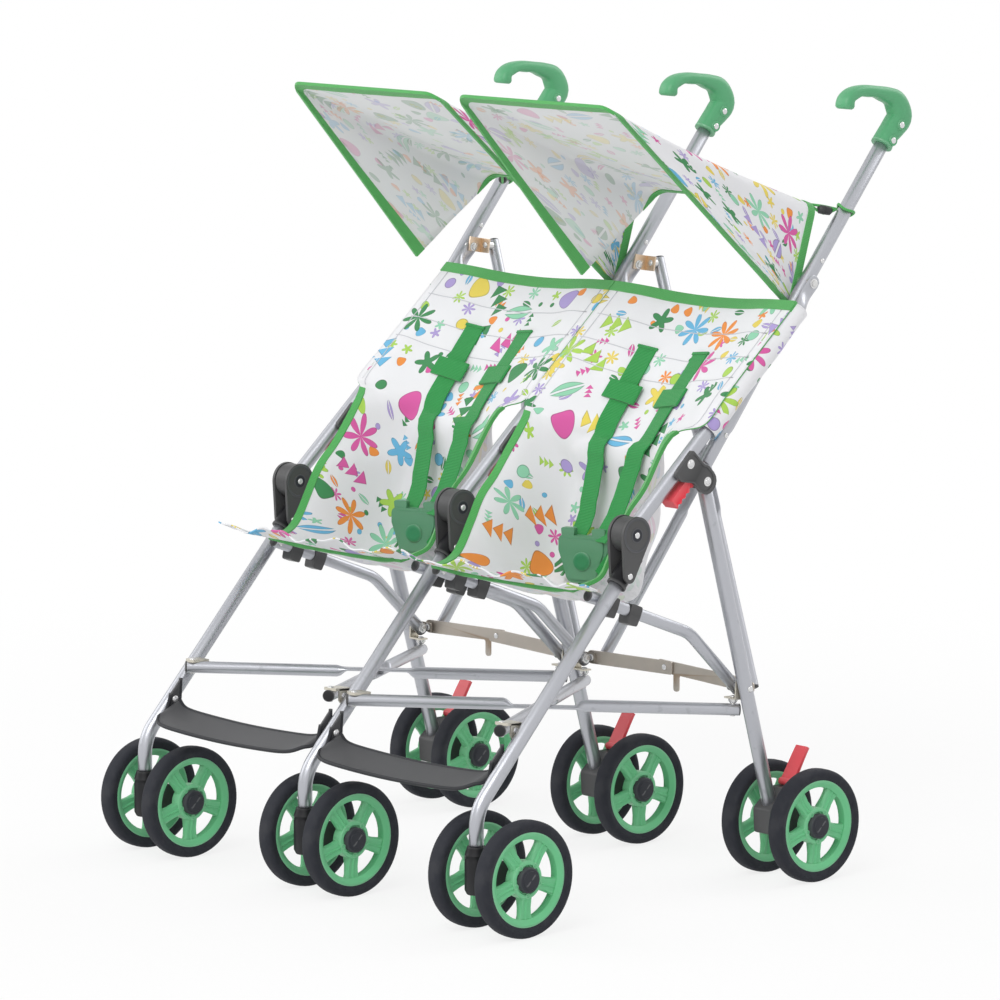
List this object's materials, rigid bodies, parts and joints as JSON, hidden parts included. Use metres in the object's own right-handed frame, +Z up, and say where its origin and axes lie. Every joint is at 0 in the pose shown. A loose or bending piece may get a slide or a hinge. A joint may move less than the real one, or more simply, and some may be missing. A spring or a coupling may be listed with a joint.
{
  "type": "double umbrella stroller",
  "caption": "Side-by-side double umbrella stroller with sling seats, folding canopies, swivel casters, hook grips and a crossed-bar folding frame.",
  "frame": {"origin": "floor level, under the centre of the stroller's bounding box", "axes": "+Z up; the children face -Y; +X to the right as seen from the front of the picture"},
  "size_m": [0.79, 0.7947, 1.0359],
  "materials": {
    "satin_aluminium": "satin, drawn tube",
    "black_plastic": "matt, fine grain",
    "green_plastic": "satin moulded",
    "mint_plastic": "satin moulded",
    "red_plastic": "satin moulded",
    "bronze_steel": "bronze coated sheet",
    "zinc_steel": "yellow zinc sheet",
    "copper_steel": "copper coloured sheet",
    "white_cloth": "coated woven polyester with a print",
    "footrest_cloth": "flexible moulded band",
    "green_webbing": "woven webbing"
  },
  "bodies": {
    "upper_left": {"back_frame_left": "satin_aluminium", "grip_left": "green_plastic", "fold_bracket_left": "black_plastic"},
    "upper_middle": {"back_frame_middle": "satin_aluminium", "grip_middle": "green_plastic", "fold_bracket_middle": "black_plastic", "seat_left": "white_cloth", "seat_right": "white_cloth", "harness_left": "green_webbing", "harness_right": "green_webbing"},
    "upper_right": {"back_frame_right": "satin_aluminium", "grip_right": "green_plastic", "fold_bracket_right": "black_plastic"},
    "rear_leg_left": {"rear_leg_left": "satin_aluminium"},
    "front_leg_left": {"front_leg_left": "satin_aluminium"},
    "latch_left": {"latch_left": "red_plastic"},
    "brake_lever_left": {"brake_lever_left": "red_plastic"},
    "caster_left": {"caster_left": "black_plastic"},
    "wheel_front_left_a": {"wheel_front_left_a": "mint_plastic"},
    "wheel_front_left_b": {"wheel_front_left_b": "mint_plastic"},
    "wheel_rear_left_a": {"wheel_rear_left_a": "mint_plastic"},
    "wheel_rear_left_b": {"wheel_rear_left_b": "mint_plastic"},
    "rear_leg_middle": {"rear_leg_middle": "satin_aluminium"},
    "front_leg_middle": {"front_leg_middle": "satin_aluminium", "footrest_left": "footrest_cloth", "footrest_right": "footrest_cloth"},
    "latch_middle": {"latch_middle": "red_plastic"},
    "brake_lever_middle": {"brake_lever_middle": "red_plastic"},
    "caster_middle": {"caster_middle": "black_plastic"},
    "wheel_front_middle_a": {"wheel_front_middle_a": "mint_plastic"},
    "wheel_front_middle_b": {"wheel_front_middle_b": "mint_plastic"},
    "wheel_rear_middle_a": {"wheel_rear_middle_a": "mint_plastic"},
    "wheel_rear_middle_b": {"wheel_rear_middle_b": "mint_plastic"},
    "rear_leg_right": {"rear_leg_right": "satin_aluminium"},
    "front_leg_right": {"front_leg_right": "satin_aluminium"},
    "latch_right": {"latch_right": "red_plastic"},
    "brake_lever_right": {"brake_lever_right": "red_plastic"},
    "caster_right": {"caster_right": "black_plastic"},
    "wheel_front_right_a": {"wheel_front_right_a": "mint_plastic"},
    "wheel_front_right_b": {"wheel_front_right_b": "mint_plastic"},
    "wheel_rear_right_a": {"wheel_rear_right_a": "mint_plastic"},
    "wheel_rear_right_b": {"wheel_rear_right_b": "mint_plastic"},
    "canopy_left": {"canopy_left": "white_cloth"},
    "scissor_bracket_left": {"scissor_bracket_left": "zinc_steel"},
    "scissor_left_a": {"scissor_bar_left_a": "satin_aluminium"},
    "scissor_left_b": {"scissor_bar_left_b": "satin_aluminium"},
    "brace_bracket_left": {"brace_bracket_left": "copper_steel"},
    "back_brace_left_a": {"back_brace_left_a": "satin_aluminium"},
    "back_brace_left_b": {"back_brace_left_b": "satin_aluminium"},
    "lock_left_inner": {"lock_bar_left_inner": "bronze_steel"},
    "lock_left_outer": {"lock_bar_left_outer": "bronze_steel"},
    "canopy_right": {"canopy_right": "white_cloth"},
    "scissor_bracket_right": {"scissor_bracket_right": "zinc_steel"},
    "scissor_right_a": {"scissor_bar_right_a": "satin_aluminium"},
    "scissor_right_b": {"scissor_bar_right_b": "satin_aluminium"},
    "brace_bracket_right": {"brace_bracket_right": "copper_steel"},
    "back_brace_right_a": {"back_brace_right_a": "satin_aluminium"},
    "back_brace_right_b": {"back_brace_right_b": "satin_aluminium"},
    "lock_right_inner": {"lock_bar_right_inner": "bronze_steel"},
    "lock_right_outer": {"lock_bar_right_outer": "bronze_steel"}
  },
  "joints": [
    {"name": "frame_fold", "type": "slide", "parent": "upper_middle", "child": "upper_right", "axis": [-1, 0, 0], "range_m": [0, 0.153], "deforming": ["seat_left", "seat_right", "harness_left", "harness_right", "canopy_left", "canopy_right", "footrest_left", "footrest_right"]},
    {"name": "left_frame_follow", "type": "slide", "parent": "upper_middle", "child": "upper_left", "axis": [1, 0, 0], "range_m": [0, 0.153]},
    {"name": "rear_leg_left_swing", "type": "hinge", "parent": "upper_left", "child": "rear_leg_left", "pos_m": [-0.336, 0.01288, 0.54259], "axis": [-1, 0, 0], "range_deg": [0, 24.4]},
    {"name": "front_leg_left_swing", "type": "hinge", "parent": "upper_left", "child": "front_leg_left", "pos_m": [-0.336, -0.1042, 0.4836], "axis": [-1, 0, 0], "range_deg": [0, 59.2]},
    {"name": "latch_left_tilt", "type": "hinge", "parent": "upper_left", "child": "latch_left", "pos_m": [-0.336, -0.01289, 0.54375], "axis": [1, 0, 0], "range_deg": [0, 12]},
    {"name": "brake_lever_left_tilt", "type": "hinge", "parent": "rear_leg_left", "child": "brake_lever_left", "pos_m": [-0.336, 0.1805, 0.12636], "axis": [-1, 0, 0], "range_deg": [0, 30]},
    {"name": "caster_left_swivel", "type": "hinge", "parent": "front_leg_left", "child": "caster_left", "pos_m": [-0.336, -0.3635, 0.115], "axis": [0, 0, 1], "continuous": true},
    {"name": "wheel_front_left_a_spin", "type": "hinge", "parent": "caster_left", "child": "wheel_front_left_a", "pos_m": [-0.38, -0.3235, 0.07436], "axis": [1, 0, 0], "continuous": true},
    {"name": "wheel_front_left_b_spin", "type": "hinge", "parent": "caster_left", "child": "wheel_front_left_b", "pos_m": [-0.292, -0.3235, 0.07436], "axis": [1, 0, 0], "continuous": true},
    {"name": "wheel_rear_left_a_spin", "type": "hinge", "parent": "rear_leg_left", "child": "wheel_rear_left_a", "pos_m": [-0.38, 0.1865, 0.07436], "axis": [1, 0, 0], "continuous": true},
    {"name": "wheel_rear_left_b_spin", "type": "hinge", "parent": "rear_leg_left", "child": "wheel_rear_left_b", "pos_m": [-0.292, 0.1865, 0.07436], "axis": [1, 0, 0], "continuous": true},
    {"name": "rear_leg_middle_swing", "type": "hinge", "parent": "upper_middle", "child": "rear_leg_middle", "pos_m": [0, 0.01288, 0.54259], "axis": [-1, 0, 0], "range_deg": [0, 24.4]},
    {"name": "front_leg_middle_swing", "type": "hinge", "parent": "upper_middle", "child": "front_leg_middle", "pos_m": [0, -0.1042, 0.4836], "axis": [-1, 0, 0], "range_deg": [0, 59.2]},
    {"name": "latch_middle_tilt", "type": "hinge", "parent": "upper_middle", "child": "latch_middle", "pos_m": [0, -0.01289, 0.54375], "axis": [1, 0, 0], "range_deg": [0, 12]},
    {"name": "brake_lever_middle_tilt", "type": "hinge", "parent": "rear_leg_middle", "child": "brake_lever_middle", "pos_m": [0, 0.1805, 0.12636], "axis": [-1, 0, 0], "range_deg": [0, 30]},
    {"name": "caster_middle_swivel", "type": "hinge", "parent": "front_leg_middle", "child": "caster_middle", "pos_m": [0, -0.3635, 0.115], "axis": [0, 0, 1], "continuous": true},
    {"name": "wheel_front_middle_a_spin", "type": "hinge", "parent": "caster_middle", "child": "wheel_front_middle_a", "pos_m": [-0.044, -0.3235, 0.07436], "axis": [1, 0, 0], "continuous": true},
    {"name": "wheel_front_middle_b_spin", "type": "hinge", "parent": "caster_middle", "child": "wheel_front_middle_b", "pos_m": [0.044, -0.3235, 0.07436], "axis": [1, 0, 0], "continuous": true},
    {"name": "wheel_rear_middle_a_spin", "type": "hinge", "parent": "rear_leg_middle", "child": "wheel_rear_middle_a", "pos_m": [-0.044, 0.1865, 0.07436], "axis": [1, 0, 0], "continuous": true},
    {"name": "wheel_rear_middle_b_spin", "type": "hinge", "parent": "rear_leg_middle", "child": "wheel_rear_middle_b", "pos_m": [0.044, 0.1865, 0.07436], "axis": [1, 0, 0], "continuous": true},
    {"name": "rear_leg_right_swing", "type": "hinge", "parent": "upper_right", "child": "rear_leg_right", "pos_m": [0.336, 0.01288, 0.54259], "axis": [-1, 0, 0], "range_deg": [0, 24.4]},
    {"name": "front_leg_right_swing", "type": "hinge", "parent": "upper_right", "child": "front_leg_right", "pos_m": [0.336, -0.1042, 0.4836], "axis": [-1, 0, 0], "range_deg": [0, 59.2]},
    {"name": "latch_right_tilt", "type": "hinge", "parent": "upper_right", "child": "latch_right", "pos_m": [0.336, -0.01289, 0.54375], "axis": [1, 0, 0], "range_deg": [0, 12]},
    {"name": "brake_lever_right_tilt", "type": "hinge", "parent": "rear_leg_right", "child": "brake_lever_right", "pos_m": [0.336, 0.1805, 0.12636], "axis": [-1, 0, 0], "range_deg": [0, 30]},
    {"name": "caster_right_swivel", "type": "hinge", "parent": "front_leg_right", "child": "caster_right", "pos_m": [0.336, -0.3635, 0.115], "axis": [0, 0, 1], "continuous": true},
    {"name": "wheel_front_right_a_spin", "type": "hinge", "parent": "caster_right", "child": "wheel_front_right_a", "pos_m": [0.292, -0.3235, 0.07436], "axis": [1, 0, 0], "continuous": true},
    {"name": "wheel_front_right_b_spin", "type": "hinge", "parent": "caster_right", "child": "wheel_front_right_b", "pos_m": [0.38, -0.3235, 0.07436], "axis": [1, 0, 0], "continuous": true},
    {"name": "wheel_rear_right_a_spin", "type": "hinge", "parent": "rear_leg_right", "child": "wheel_rear_right_a", "pos_m": [0.292, 0.1865, 0.07436], "axis": [1, 0, 0], "continuous": true},
    {"name": "wheel_rear_right_b_spin", "type": "hinge", "parent": "rear_leg_right", "child": "wheel_rear_right_b", "pos_m": [0.38, 0.1865, 0.07436], "axis": [1, 0, 0], "continuous": true},
    {"name": "canopy_left_fold", "type": "hinge", "parent": "upper_middle", "child": "canopy_left", "pos_m": [-0.168, 0.18778, 0.76473], "axis": [-1, 0, 0], "range_deg": [0, 60]},
    {"name": "scissor_bracket_left_tilt", "type": "hinge", "parent": "rear_leg_middle", "child": "scissor_bracket_left", "pos_m": [0, 0.10327, 0.2605], "axis": [-1, 0, 0], "range_deg": [0, 13.2]},
    {"name": "scissor_left_a_turn", "type": "hinge", "parent": "scissor_bracket_left", "child": "scissor_left_a", "pos_m": [-0.024, 0.10327, 0.2292], "axis": [0, 0.0557, 0.9984], "range_deg": [0, 21.6]},
    {"name": "scissor_left_b_turn", "type": "hinge", "parent": "scissor_left_a", "child": "scissor_left_b", "pos_m": [-0.168, -0.09842, 0.24046], "axis": [0, 0.0557, 0.9984], "range_deg": [-43.8, 0]},
    {"name": "brace_bracket_left_tilt", "type": "hinge", "parent": "upper_middle", "child": "brace_bracket_left", "pos_m": [0, 0.20723, 0.78345], "axis": [-1, 0, 0], "range_deg": [0, 11.4]},
    {"name": "back_brace_left_a_turn", "type": "hinge", "parent": "brace_bracket_left", "child": "back_brace_left_a", "pos_m": [-0.027, 0.23763, 0.78255], "axis": [0, -0.9829, 0.184], "range_deg": [0, 16.9]},
    {"name": "back_brace_left_b_turn", "type": "hinge", "parent": "back_brace_left_a", "child": "back_brace_left_b", "pos_m": [-0.168, 0.18895, 0.52243], "axis": [0, -0.9829, 0.184], "range_deg": [-34.2, 0]},
    {"name": "lock_left_inner_fold", "type": "hinge", "parent": "rear_leg_middle", "child": "lock_left_inner", "pos_m": [-0.027, 0.11593, 0.2605], "axis": [0, 1, 0], "range_deg": [0, 60.8]},
    {"name": "lock_left_outer_fold", "type": "hinge", "parent": "rear_leg_left", "child": "lock_left_outer", "pos_m": [-0.309, 0.11593, 0.2605], "axis": [0, -1, 0], "range_deg": [0, 60.8]},
    {"name": "canopy_right_fold", "type": "hinge", "parent": "upper_middle", "child": "canopy_right", "pos_m": [0.168, 0.18778, 0.76473], "axis": [-1, 0, 0], "range_deg": [0, 60]},
    {"name": "scissor_bracket_right_tilt", "type": "hinge", "parent": "rear_leg_middle", "child": "scissor_bracket_right", "pos_m": [0, 0.10327, 0.2605], "axis": [-1, 0, 0], "range_deg": [0, 13.2]},
    {"name": "scissor_right_a_turn", "type": "hinge", "parent": "scissor_bracket_right", "child": "scissor_right_a", "pos_m": [0.024, 0.10327, 0.2292], "axis": [0, -0.0557, -0.9984], "range_deg": [0, 21.6]},
    {"name": "scissor_right_b_turn", "type": "hinge", "parent": "scissor_right_a", "child": "scissor_right_b", "pos_m": [0.168, -0.09842, 0.24046], "axis": [0, -0.0557, -0.9984], "range_deg": [-43.8, 0]},
    {"name": "brace_bracket_right_tilt", "type": "hinge", "parent": "upper_middle", "child": "brace_bracket_right", "pos_m": [0, 0.20723, 0.78345], "axis": [-1, 0, 0], "range_deg": [0, 11.4]},
    {"name": "back_brace_right_a_turn", "type": "hinge", "parent": "brace_bracket_right", "child": "back_brace_right_a", "pos_m": [0.027, 0.23763, 0.78255], "axis": [0, 0.9829, -0.184], "range_deg": [0, 16.9]},
    {"name": "back_brace_right_b_turn", "type": "hinge", "parent": "back_brace_right_a", "child": "back_brace_right_b", "pos_m": [0.168, 0.18895, 0.52243], "axis": [0, 0.9829, -0.184], "range_deg": [-34.2, 0]},
    {"name": "lock_right_inner_fold", "type": "hinge", "parent": "rear_leg_middle", "child": "lock_right_inner", "pos_m": [0.027, 0.11593, 0.2605], "axis": [0, -1, 0], "range_deg": [0, 60.8]},
    {"name": "lock_right_outer_fold", "type": "hinge", "parent": "rear_leg_right", "child": "lock_right_outer", "pos_m": [0.309, 0.11593, 0.2605], "axis": [0, 1, 0], "range_deg": [0, 60.8]}
  ],
  "couplings": [
    {"joint": "left_frame_follow", "follows": "frame_fold", "ratio": 1},
    {"joint": "rear_leg_left_swing", "follows": "frame_fold", "rad_per_m": 2.77},
    {"joint": "front_leg_left_swing", "follows": "frame_fold", "rad_per_m": 6.74},
    {"joint": "rear_leg_middle_swing", "follows": "frame_fold", "rad_per_m": 2.77},
    {"joint": "front_leg_middle_swing", "follows": "frame_fold", "rad_per_m": 6.74},
    {"joint": "rear_leg_right_swing", "follows": "frame_fold", "rad_per_m": 2.77},
    {"joint": "front_leg_right_swing", "follows": "frame_fold", "rad_per_m": 6.74},
    {"joint": "scissor_bracket_left_tilt", "follows": "frame_fold", "rad_per_m": 1.49},
    {"joint": "scissor_left_a_turn", "follows": "frame_fold", "rad_per_m": 2.45},
    {"joint": "scissor_left_b_turn", "follows": "frame_fold", "rad_per_m": -4.98},
    {"joint": "brace_bracket_left_tilt", "follows": "frame_fold", "rad_per_m": 1.28},
    {"joint": "back_brace_left_a_turn", "follows": "frame_fold", "rad_per_m": 1.91},
    {"joint": "back_brace_left_b_turn", "follows": "frame_fold", "rad_per_m": -3.885},
    {"joint": "lock_left_inner_fold", "follows": "frame_fold", "rad_per_m": 6.92},
    {"joint": "lock_left_outer_fold", "follows": "frame_fold", "rad_per_m": 6.92},
    {"joint": "scissor_bracket_right_tilt", "follows": "frame_fold", "rad_per_m": 1.49},
    {"joint": "scissor_right_a_turn", "follows": "frame_fold", "rad_per_m": 2.45},
    {"joint": "scissor_right_b_turn", "follows": "frame_fold", "rad_per_m": -4.98},
    {"joint": "brace_bracket_right_tilt", "follows": "frame_fold", "rad_per_m": 1.28},
    {"joint": "back_brace_right_a_turn", "follows": "frame_fold", "rad_per_m": 1.91},
    {"joint": "back_brace_right_b_turn", "follows": "frame_fold", "rad_per_m": -3.885},
    {"joint": "lock_right_inner_fold", "follows": "frame_fold", "rad_per_m": 6.92},
    {"joint": "lock_right_outer_fold", "follows": "frame_fold", "rad_per_m": 6.92}
  ]
}
